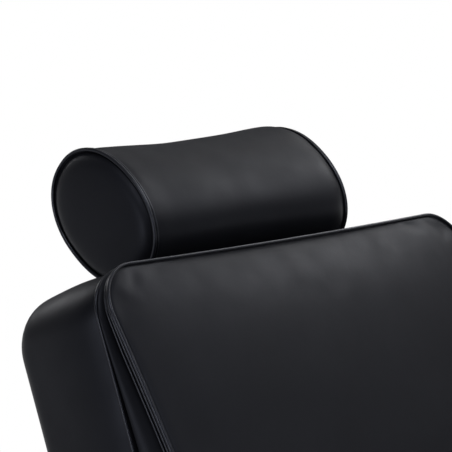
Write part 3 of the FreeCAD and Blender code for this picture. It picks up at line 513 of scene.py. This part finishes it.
def crease(piece, seams, depth, reach, spacing, pull, corners=()):
    """Pull the cover in beside its seams, with small uneven puckers that grow towards the corners."""
    marks = []
    for seam in seams:
        run = 0.0
        for here, there in zip(seam, seam[1:] + seam[:1]):
            marks.append((here, run))
            run += (there - here).length
    tree = kdtree.KDTree(len(marks))
    for index, (here, run) in enumerate(marks):
        tree.insert(here, index)
    tree.balance()

    def pulled(point, normal):
        here, index, distance = tree.find(point)
        if distance > 4 * reach:
            return point
        run = marks[index][1] / spacing
        ripple = noise.noise(Vector((run, 3.7, 0.5))) + 0.5 * noise.noise(Vector((2.3 * run, 9.1, 0.5)))
        gather = sum(22 * math.exp(-(((point - corner).length / (45 * MM)) ** 2)) for corner in corners)
        near = math.exp(-((distance / (reach * (1 + 0.05 * gather))) ** 2)) * (1 + gather)
        rim = math.exp(-((distance / (0.25 * reach)) ** 2))
        return point - normal * (depth * near * (0.4 + ripple) * (1 - 0.8 * rim) + pull * rim)

    move(piece, pulled)


def undulate(piece, amount, size, shift=0.0):
    """Soft hollows and rises in the cover, of a given size."""
    away = Vector((shift, shift, shift))
    move(piece, lambda point, normal: point + normal * amount * noise.noise(point / size + away))


def smooth(piece, levels=1):
    """Round the mesh once more."""
    rounder = piece.modifiers.new("round", "SUBSURF")
    rounder.levels = levels
    rounder.render_levels = levels


def piping(name, points, radius, body, sizes=None):
    """A leather-covered cord sewn along a seam, which may be thinner in places."""
    curve = bpy.data.curves.new(name, "CURVE")
    curve.dimensions = "3D"
    curve.bevel_depth = radius
    curve.bevel_resolution = 3
    curve.resolution_u = 3
    line = curve.splines.new("NURBS")
    line.points.add(len(points) - 1)
    for i, (target, point) in enumerate(zip(line.points, points)):
        target.co = (*point, 1)
        target.radius = (sizes[i] if sizes else 1) + 0.06 * noise.noise(Vector((0.37 * i, 1.3, 2.9)))
    line.use_cyclic_u = True
    line.order_u = 4
    curve.materials.append(finishes["cord"])
    piece = bpy.data.objects.new(name, curve)
    scene.collection.objects.link(piece)
    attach(piece, body)
    return piece


def finish_cover(piece, node, body):
    """Hang a cover on its body in place of its plain solid."""
    smooth(piece)
    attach(piece, body)
    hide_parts(node)


# Headrest bolster

END_GRID = 20  # steps along each side of the grid that closes an end
OVAL_STEPS = 4 * END_GRID
HEADREST_CORDS = [
    # name, radius in millimetres
    ("piping", 1.8),
    ("welt", 1.1),
]


def oval(share, square):
    """The bolster's outline across X, with its outward directions."""
    line = []
    for step in range(OVAL_STEPS):
        angle = 2 * math.pi * (step + END_GRID // 2) / OVAL_STEPS
        way = (math.cos(angle), math.sin(angle))
        flat = [math.copysign(abs(w) ** (2 / square), w) for w in way]
        steep = [math.copysign(abs(f) ** (square - 1), f) for f in flat]
        point = Vector((BOLSTER_SHORT * flat[0], BOLSTER_LONG * flat[1])) * share
        out = Vector((steep[0] / BOLSTER_SHORT, steep[1] / BOLSTER_LONG)).normalized()
        line.append((point, out))
    return line


def build_headrest():
    """The bolster, its puffed end panels and the double piping round them."""
    centre = BACK @ Vector((BOLSTER_ASIDE, BOLSTER_UP, -BOLSTER_BACK))
    turn = Matrix.Rotation(-LEAN - BOLSTER_TILT, 4, "X")
    place = Matrix.Translation(centre) @ turn
    front = turn.to_3x3().inverted() @ Vector((0, -math.cos(HOLLOW_RISE), math.sin(HOLLOW_RISE)))
    half = [k / 25 for k in range(25)] + [0.972, 0.985, 1.0]
    stations = [-at for at in reversed(half[1:])] + half
    tube = []
    for at in stations:
        share = splined(BOLSTER_PROFILE, at)
        hollow = splined(BOLSTER_HOLLOW, at) * MM
        square = BOLSTER_SQUARE[1] + (BOLSTER_SQUARE[0] - BOLSTER_SQUARE[1]) * abs(at) ** 6
        ring = []
        for point, out in oval(share, square):
            facing = max(0.0, front.y * out.x + front.z * out.y)
            sunk = point - out * hollow * facing ** 2
            ring.append(Vector((at * BOLSTER_HALF, sunk.x, sunk.y)))
        tube.append(ring)
    ends = []
    for side in (-1, 1):
        full = splined(BOLSTER_PROFILE, side)
        panel = []
        for share, rise in BOLSTER_END:
            x = side * (BOLSTER_HALF + rise * MM)
            line = oval(full * share, BOLSTER_SQUARE[0])
            panel.append([Vector((x, point.x, point.y)) for point, out in line])
        ends.append(panel)
    rings = ends[0][::-1] + tube + ends[1]
    crown = Vector((0.3 * MM, 0, 0))
    cover = skin("headrest_bolster_cover", rings, END_GRID, END_GRID, (-crown, crown), place)[0]
    count = len(rings[0])
    rows = len(BOLSTER_END)
    held = set()
    last = len(rings) - rows
    for row in (rows - 2, rows - 1, rows, last - 1, last, last + 1):
        held |= set(range(row * count, row * count + count))
    swell(cover, set(range(len(cover.data.vertices))) - held, 2.5, 1.5 * MM)
    seams = []
    outs = [Vector((0, out.x, out.y)) for point, out in oval(1, BOLSTER_SQUARE[0])]
    sides = (("right", tube[0], tube[2], tube[3]), ("left", tube[-1], tube[-3], tube[-4]))
    for side, outer, inner, beside in sides:
        seams.append([place @ point for point in beside])
        for (name, radius), ring in zip(HEADREST_CORDS, (outer, inner)):
            cord = [place @ (point + out * 0.4 * MM) for point, out in zip(ring, outs)]
            piping("headrest_" + name + "_" + side, cord, radius * MM, "headrest")
    crease(cover, seams, 0.7 * MM, 9 * MM, 13 * MM, 1.0 * MM)
    undulate(cover, 0.5 * MM, 80 * MM)
    finish_cover(cover, "headrest_bolster", "headrest")


# Backrest

BACK_WIDE = 520 * MM
BACK_LOW = 62 * MM
BACK_HIGH = 569 * MM
BACK_RADII = [34 * MM, 34 * MM, 42 * MM, 42 * MM]
BACK_DRAW = [5 * MM, 5 * MM, 2 * MM, 5 * MM]
BACK_CROWN_HALF = 258 * MM
BACK_EDGE = [
    # height up the back, thickness of the cushion's side
    (62 * MM, 46 * MM),
    (270 * MM, 60 * MM),
    (414 * MM, 37.6 * MM),
    (523.9 * MM, 19.2 * MM),
    (569 * MM, 10.4 * MM),
]
BACK_BOXING = [
    # outset in millimetres, share of the boxing's height
    (-9.0, 0.0),
    (-3.5, 0.012),
    (0.2, 0.05),
    (0.9, 0.12),
    (0.4, 0.24),
    (-1.0, 0.38),
    (-3.4, 0.52),
    (-6.6, 0.66),
    (-10.2, 0.8),
    (-13.5, 0.92),
    (-14.5, 1.0),
]
BACK_LIP = [
    # outset, distance under the edge, in millimetres
    (-12.0, 10.6),
    (-3.0, 9.6),
    (-1.2, 8.5),
    (-1.8, 7.7),
    (-6.4, 7.0),
    (-6.8, 6.0),
    (-6.0, 5.4),
    (-2.0, 4.9),
    (-1.4, 4.1),
    (-1.5, 3.0),
    (-1.2, 1.8),
    (-1.3, 0.6),
    (-2.2, 1.5),
    (-3.2, 1.4),
    (-4.6, 0.2),
    (-5.8, -0.4),
]
BACK_CORDS = [
    # name, outset, distance under the edge, radius, in millimetres
    ("piping", 0.5, 0.1, 1.9),
    ("welt", -0.2, 4.3, 1.4),
    ("lip", -0.4, 8.5, 1.1),
]
BACK_CROWN = [
    # height up the back, rise of the panel's middle above its edges
    (62 * MM, 0),
    (120 * MM, 10 * MM),
    (200 * MM, 12 * MM),
    (270 * MM, 7.5 * MM),
    (330 * MM, 4 * MM),
    (370 * MM, 5 * MM),
    (400 * MM, 6.6 * MM),
    (450 * MM, 9.6 * MM),
    (500 * MM, 11.2 * MM),
    (515 * MM, 10.9 * MM),
    (530 * MM, 9.8 * MM),
    (550 * MM, 6.4 * MM),
    (561 * MM, 3.1 * MM),
    (569 * MM, 0),
]
BACK_FOLDS = [
    # ends of a fold beside a top corner (across, up), depth, in millimetres
    ((166, 566), (200, 559), 2.4),
    ((212, 563), (228, 548), 1.2),
    ((-170, 566), (-198, 560), 1.0),
    ((-214, 562), (-231, 545), 1.2),
]


def fold_panel(cover, first):
    """Press the small folds of the gathered top corners into the front panel, each with a ridge above it."""
    inverse = BACK.inverted()
    out = BACK.to_3x3() @ Vector((0, 0, 1))
    for vertex in cover.data.vertices[first:]:
        local = inverse @ vertex.co
        here = Vector((local.x, local.y)) / MM
        rise = 0.0
        for start, end, depth in BACK_FOLDS:
            a, b = Vector(start), Vector(end)
            along = max(0.0, min(1.0, (here - a).dot(b - a) / (b - a).length_squared))
            aside = here - a.lerp(b, along)
            size = depth * math.sin(math.pi * (0.12 + 0.8 * along))
            rise -= size * math.exp(-(aside.length / 4.5) ** 2)
            rise += 0.6 * size * math.exp(-((aside - Vector((0, 7))).length / 5) ** 2)
        vertex.co += out * rise * MM
    cover.data.update()


def crown_panel(cover, first):
    """Raise the front panel by its crown, most at the shoulders and at the waist."""
    inverse = BACK.inverted()
    out = BACK.to_3x3() @ Vector((0, 0, 1))
    for vertex in cover.data.vertices[first:]:
        local = inverse @ vertex.co
        share = 1 - min(1.0, abs(local.x) / BACK_CROWN_HALF) ** CROWN_POWER
        vertex.co += out * splined(BACK_CROWN, local.y) * share
    cover.data.update()


def build_back_cushion():
    """The back cushion: crowned front panel, piped edge, and boxing that narrows towards the top."""
    across, along = 88, 86
    line = rectangle(BACK_WIDE, BACK_LOW, BACK_HIGH, BACK_RADII, BACK_DRAW, across, along)
    edges = [splined(BACK_EDGE, point.y) for point, out in line]
    scales = [min(1.0, edge / (24 * MM)) for edge in edges]
    rings = []
    for outset, share in BACK_BOXING:
        tops = [edge - 11 * MM * scale for edge, scale in zip(edges, scales)]
        heights = [0.5 * MM + share * (top - 0.5 * MM) for top in tops]
        rings.append(loop(line, [outset * MM * scale for scale in scales], heights))
    for outset, under in BACK_LIP:
        heights = [edge - under * MM * scale for edge, scale in zip(edges, scales)]
        rings.append(loop(line, [outset * MM * scale for scale in scales], heights))
    cover, first_free = skin("back_cushion_cover", rings, across, along, (Vector(), Vector()), BACK)
    crown_panel(cover, first_free)
    swell(cover, set(range(first_free, len(cover.data.vertices))), 3.0, 3 * MM)
    seam = [BACK @ point for point in rings[-1]]
    corners = [BACK @ Vector((x, u, 15 * MM)) for x in (-248 * MM, 248 * MM) for u in (74 * MM, 558 * MM)]
    crease(cover, [seam], 0.08 * MM, 14 * MM, 22 * MM, 0.45 * MM, corners)
    fold_panel(cover, first_free)
    undulate(cover, 0.5 * MM, 220 * MM)
    for name, outset, under, radius in BACK_CORDS:
        heights = [edge - under * MM * scale for edge, scale in zip(edges, scales)]
        cord = loop(line, outset * MM, heights)
        sizes = [0.5 + 0.5 * scale for scale in scales]
        piping("back_cushion_" + name, [BACK @ point for point in cord], radius * MM, "back", sizes)
    finish_cover(cover, "back_cushion", "back")


SHELL_WIDE = 516 * MM
SHELL_LOW = 55 * MM
SHELL_HIGH = 565 * MM
SHELL_DEPTH = 110 * MM
SHELL_LOW_CORNER = 16 * MM
SHELL_HIGH_CORNER = 34 * MM
SHELL_ROWS = [
    # distance behind the front, bulge of the sides, in millimetres
    (0.4, -12),
    (0.5, -4),
    (1.2, -1),
    (4, 0.2),
    (8, 1.4),
    (14, 2.8),
    (20, 3.8),
    (28, 4.5),
    (38, 4.8),
    (50, 4.4),
    (62, 3.6),
    (74, 2.6),
    (84, 1.7),
    (92, 1),
    (98, 0.5),
    (103, 0.2),
    (106.5, 0),
    (109, 0),
    (110, 0),
]


def rounded(at, end, radius):
    """How far a quarter circle that ends there has turned in."""
    into = max(0.0, at - (end - radius))
    return radius - math.sqrt(max(0.0, radius * radius - into * into))


def build_back_shell():
    """The upholstered shell behind the cushion, round at its top rear edge and piped along its front."""
    across, along = 86, 84
    rings = []
    for behind, bulge in SHELL_ROWS:
        v = behind * MM
        inset = rounded(v, SHELL_DEPTH, 15 * MM)
        dip = 3.6 * MM * (1 - math.exp(-v / (14 * MM)))
        high = SHELL_HIGH - dip - rounded(v, SHELL_DEPTH, 26 * MM)
        low = SHELL_LOW + rounded(v, SHELL_DEPTH, 20 * MM)
        corner = max(12 * MM, SHELL_HIGH_CORNER + 4 * MM * min(1.0, v / (35 * MM)) - inset)
        radii = [SHELL_LOW_CORNER, SHELL_LOW_CORNER, corner, corner]
        line = rectangle(SHELL_WIDE, low, high, radii, STRAIGHT, across, along)
        rings.append(loop(line, bulge * MM - inset, v))
    lifts = (Vector(), Vector((0, 0, 5 * MM)))
    cover = skin("back_shell_cover", rings, across, along, lifts, SHELL, 2.4)[0]
    undulate(cover, 0.7 * MM, 110 * MM, 2.0)
    radii = [SHELL_LOW_CORNER, SHELL_LOW_CORNER, SHELL_HIGH_CORNER, SHELL_HIGH_CORNER]
    front = rectangle(SHELL_WIDE, SHELL_LOW, SHELL_HIGH, radii, STRAIGHT, across, along)
    cord = [SHELL @ point for point in loop(front, 0.6 * MM, 1.0 * MM)]
    piping("back_shell_piping", cord, 1.6 * MM, "back")
    crease(cover, [cord], 0.8 * MM, 10 * MM, 24 * MM, 0.6 * MM)
    finish_cover(cover, "back_shell", "back")


POST_ASIDE = 60 * MM
POST_BACK = 48 * MM
COLLAR_UP = 560.6 * MM
COLLAR = [
    # radius and height of the collar's outline, in millimetres
    (6.5, 0),
    (6.5, 4.4),
    (7.2, 5.4),
    (9.6, 5.6),
    (11.6, 4.6),
    (12.8, 2.8),
    (13.6, 0.8),
    (13.4, 0),
]
SLEEVE_UP = 571 * MM
SLEEVE = [
    # radius and height of the sleeve's outline, in millimetres
    (6.1, 0.5),
    (6.5, 0),
    (7.0, 0.5),
    (7.2, 1.4),
    (7.2, 8),
    (7.0, 14),
    (6.1, 14),
]


def build_ring(name, outline, x, up, body, finish):
    """A ring round a headrest post, turned from its outline."""
    points = []
    faces = []
    turns = 40
    rows = len(outline)
    for turn in range(turns):
        angle = 2 * math.pi * turn / turns
        for radius, height in outline:
            across, behind = radius * MM * math.cos(angle), radius * MM * math.sin(angle)
            points.append(SHELL @ Vector((x + across, up + height * MM, POST_BACK + behind)))
        first = turn * rows
        second = (turn + 1) % turns * rows
        for row in range(rows):
            above = (row + 1) % rows
            faces.append((first + row, second + row, second + above, first + above))
    mesh = bpy.data.meshes.new(name)
    mesh.from_pydata(points, [], faces)
    mesh.materials.append(finishes[finish])
    outward(mesh)
    mesh.shade_smooth()
    piece = bpy.data.objects.new(name, mesh)
    scene.collection.objects.link(piece)
    smooth(piece)
    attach(piece, body)


def build_post_rings():
    """A moulded collar where each post enters the back, and a sewn sleeve where it enters the bolster."""
    for side, x in (("left", POST_ASIDE), ("right", -POST_ASIDE)):
        build_ring("post_collar_" + side, COLLAR, x, COLLAR_UP, "back", "black_plastic")
        build_ring("post_sleeve_" + side, SLEEVE, x, SLEEVE_UP, "headrest", "upholstery")


# Seat, arms and calf pad

SEAT_WIDE = 510 * MM
SEAT_FRONT = -250 * MM
SEAT_UP = 0.442
SEAT_BASE_UP = 0.392
SEAT_EDGE = [
    # place from front to rear, height of the cushion's side
    (SEAT_FRONT, 56 * MM),
    (-192.4 * MM, 71 * MM),
    (-34 * MM, 76 * MM),
    (158 * MM, 76 * MM),
    (230 * MM, 64 * MM),
]
SEAT_BASE_ROWS = [
    # outset, height above the underside, in millimetres
    (-14, 0.2),
    (-3, 0.3),
    (-0.6, 1.6),
    (0.4, 5),
    (1.2, 14),
    (1.6, 25),
    (1.2, 37),
    (0.2, 45),
    (-2, 48.6),
    (-10, 49.6),
]
CUSHION_BOXING = [
    # outset in millimetres, share of the side's height, distance above that in millimetres
    (-8.0, 0.0, 0.4),
    (-2.5, 0.0, 0.6),
    (-0.8, 0.0, 2.4),
    (0.8, 0.12, 2.0),
    (2.0, 0.32, 0.0),
    (2.2, 0.52, 0.0),
    (1.6, 0.72, 0.0),
    (0.2, 1.0, -8.0),
    (-1.2, 1.0, -3.4),
    (-1.6, 1.0, -1.6),
    (-2.6, 1.0, -0.4),
]


def build_cushion(name, node, line, counts, edges, crown, place, body, puff, cords):
    """A boxed cushion with piping along its upper and lower edges."""
    across, along = counts
    rings = []
    for outset, share, offset in CUSHION_BOXING:
        rings.append(loop(line, outset * MM, [edge * share + offset * MM for edge in edges]))
    cover, first_free = skin(name + "_cover", rings, across, along, (Vector(), Vector((0, 0, crown))), place)
    swell(cover, set(range(first_free, len(cover.data.vertices))), 3.0, puff, 0.003)
    seams = [[place @ point for point in rings[-1]], [place @ point for point in rings[2]]]
    crease(cover, seams, 1.1 * MM, 13 * MM, 21 * MM, 0.4 * MM)
    undulate(cover, 1.0 * MM, 85 * MM, 1.5)
    upper = loop(line, 0.3 * MM, [edge - 0.3 * MM for edge in edges])
    piping(name + "_piping_upper", [place @ point for point in upper], cords, body)
    lower = loop(line, 0.2 * MM, 2.2 * MM)
    piping(name + "_piping_lower", [place @ point for point in lower], cords, body)
    finish_cover(cover, node, body)


def build_seat():
    """The seat cushion and the upholstered frame under it."""
    place = Matrix.Translation((0, 0, SEAT_UP))
    across, along = 84, 80
    line = rectangle(SEAT_WIDE, SEAT_FRONT, 230 * MM, [30 * MM] * 4, [4 * MM] * 4, across, along)
    edges = [splined(SEAT_EDGE, point.y) for point, out in line]
    build_cushion("seat_cushion", "seat_cushion", line, (across, along), edges, 9 * MM, place, "seat",
                  8 * MM, 2.4 * MM)

    across, along = 60, 58
    line = rectangle(SEAT_WIDE, SEAT_FRONT, 235 * MM, [30 * MM] * 4, STRAIGHT, across, along)
    rings = [loop(line, outset * MM, height * MM) for outset, height in SEAT_BASE_ROWS]
    place = Matrix.Translation((0, 0, SEAT_BASE_UP))
    cover = skin("seat_base_cover", rings, across, along, (Vector(), Vector()), place)[0]
    undulate(cover, 0.5 * MM, 60 * MM, 4.0)
    finish_cover(cover, "seat_base", "seat")


ARM_ASIDE = 0.2855
ARM_UP = 0.69
ARM_ROWS = [
    # outset in millimetres, share of the side's height, distance above that in millimetres
    (-7.0, 0.0, 0.3),
    (-1.6, 0.0, 0.5),
    (0.0, 0.0, 2.4),
    (1.0, 0.2, 1.0),
    (1.4, 0.42, 0.0),
    (0.8, 0.64, 0.0),
    (-1.2, 0.82, 0.0),
    (-4.2, 0.95, 0.0),
    (-9.0, 1.04, 0.0),
]


def build_arm_pads():
    """The two arm pads, rolled over their edges, with piping along the bottom."""
    across, along = 14, 78
    ends = 34.4 * MM
    middle = 40 * MM
    stations = [(-190 * MM, ends), (-56.7 * MM, middle), (76.7 * MM, middle), (210 * MM, ends)]
    line = rectangle(72 * MM, -190 * MM, 210 * MM, [32 * MM] * 4, [1.5 * MM] * 4, across, along)
    edges = [splined(stations, point.y) for point, out in line]
    for side, x in (("left", ARM_ASIDE), ("right", -ARM_ASIDE)):
        place = Matrix.Translation((x, 0, ARM_UP))
        rings = []
        for outset, share, offset in ARM_ROWS:
            rings.append(loop(line, outset * MM, [edge * share + offset * MM for edge in edges]))
        cover, first_free = skin("arm_pad_" + side + "_cover", rings, across, along,
                                 (Vector(), Vector((0, 0, 5 * MM))), place, 2.0)
        swell(cover, set(range(first_free, len(cover.data.vertices))), 2.5, 3 * MM)
        undulate(cover, 0.5 * MM, 45 * MM, 3.0)
        cord = [place @ point for point in loop(line, 0.6 * MM, 2.2 * MM)]
        piping("arm_pad_" + side + "_piping", cord, 2.0 * MM, "seat")
        crease(cover, [cord], 0.6 * MM, 9 * MM, 18 * MM, 0.3 * MM)
        finish_cover(cover, "arm_pad_" + side, "seat")


def build_calf_pad():
    """The calf pad on the footrest."""
    across, along = 56, 30
    stations = [(-88 * MM, 32.4 * MM), (-35.2 * MM, 36 * MM), (35.2 * MM, 36 * MM), (88 * MM, 32.4 * MM)]
    line = rectangle(336 * MM, -88 * MM, 88 * MM, [26 * MM] * 4, [4 * MM] * 4, across, along)
    edges = [splined(stations, point.y) for point, out in line]
    place = CALF @ Matrix.Translation((0, 0, 24.5 * MM))
    build_cushion("calf_pad", "calf_pad", line, (across, along), edges, 8 * MM, place, "seat",
                  5 * MM, 2.0 * MM)


build_headrest()
build_back_cushion()
build_back_shell()
build_post_rings()
build_seat()
build_arm_pads()
build_calf_pad()


# Floor, light and camera

FLOOR_RADIUS = 80
FLOOR_STEPS = 96


def build_floor():
    """A wide pale floor that fades to white away from the chair."""
    mesh = bpy.data.meshes.new("floor")
    turns = [2 * math.pi * k / FLOOR_STEPS for k in range(FLOOR_STEPS)]
    rim = [Vector((FLOOR_RADIUS * math.cos(turn), FLOOR_RADIUS * math.sin(turn), 0)) for turn in turns]
    mesh.from_pydata(rim, [], [tuple(range(FLOOR_STEPS))])
    floor = bpy.data.objects.new("floor", mesh)
    scene.collection.objects.link(floor)
    made, tree, shader, place = new_material("floor", (0.82, 0.82, 0.83), 0.7, specular=0.2)
    away = add(tree, "ShaderNodeVectorMath", operation="LENGTH")
    link(tree, place, away.inputs[0])
    fade = ranged(tree, away.outputs["Value"], 0.0, 1.0, 1.8, 3.3)
    rays = add(tree, "ShaderNodeLightPath")
    seen = rays.outputs["Is Camera Ray"]
    for other in ("Is Glossy Ray", "Is Transmission Ray"):
        either = add(tree, "ShaderNodeMath", operation="MAXIMUM")
        link(tree, seen, either.inputs[0])
        link(tree, rays.outputs[other], either.inputs[1])
        seen = either.outputs["Value"]
    share = add(tree, "ShaderNodeMath", operation="MULTIPLY")
    link(tree, seen, share.inputs[0])
    link(tree, fade, share.inputs[1])
    white = add(tree, "ShaderNodeEmission", Color=(1, 1, 1, 1), Strength=1.0)
    mix = add(tree, "ShaderNodeMixShader")
    link(tree, share.outputs["Value"], mix.inputs[0])
    link(tree, shader.outputs["BSDF"], mix.inputs[1])
    link(tree, white.outputs["Emission"], mix.inputs[2])
    link(tree, mix.outputs["Shader"], tree.nodes["Material Output"].inputs["Surface"])
    mesh.materials.append(made)


LAMP_AIM = Vector((0, 0.47, 0.93))
LAMP_SIZE = 0.9
LAMPS = [
    # name, bearing from the sitter's left and height above level in degrees, distance, power in watts
    ("key", -26.6, 42, 1.63, 5),
    ("left_front", -25, 32, 3.2, 7),
    ("left", -5, 32, 3.2, 12.5),
    ("left_back", 15, 32, 3.2, 5),
    ("left_rear", 40, 50, 3.2, 8),
    ("rear", 90, 25, 3.2, 17.5),
    ("right_low", 180, 4, 3.2, 25),
    ("right_high", 210, 48, 3.2, 31),
    ("front_low", -90, 25, 3.2, 20),
    ("front_high", -90, 50, 3.2, 14),
    ("overhead", 0, 88, 3.2, 8),
]


def build_lamp(name, bearing, height, away, power):
    """A square soft box that faces the top of the chair."""
    data = bpy.data.lights.new(name, "AREA")
    data.shape = "SQUARE"
    data.size = LAMP_SIZE
    data.energy = power
    lamp = bpy.data.objects.new(name, data)
    turn, rise = math.radians(bearing), math.radians(height)
    way = Vector((math.cos(rise) * math.cos(turn), math.cos(rise) * math.sin(turn), math.sin(rise)))
    lamp.location = LAMP_AIM + way * away
    lamp.rotation_euler = (-way).to_track_quat("-Z", "Y").to_euler()
    lamp.visible_camera = False
    scene.collection.objects.link(lamp)


build_floor()
for lamp_row in LAMPS:
    build_lamp(*lamp_row)

world = bpy.data.worlds.new("studio")
world.use_nodes = True
world.node_tree.nodes["Background"].inputs["Color"].default_value = (0.17, 0.17, 0.18, 1)
scene.world = world

camera_data = bpy.data.cameras.new("camera")
camera_data.lens = 181.1
camera_data.sensor_width = 36
camera_data.clip_end = 200
camera = bpy.data.objects.new("camera", camera_data)
camera.location = (-1.6214, -0.8345, 1.2381)
camera.rotation_euler = (math.radians(82.65), 0, math.radians(-50))
scene.collection.objects.link(camera)
scene.camera = camera
scene.view_settings.view_transform = "Standard"
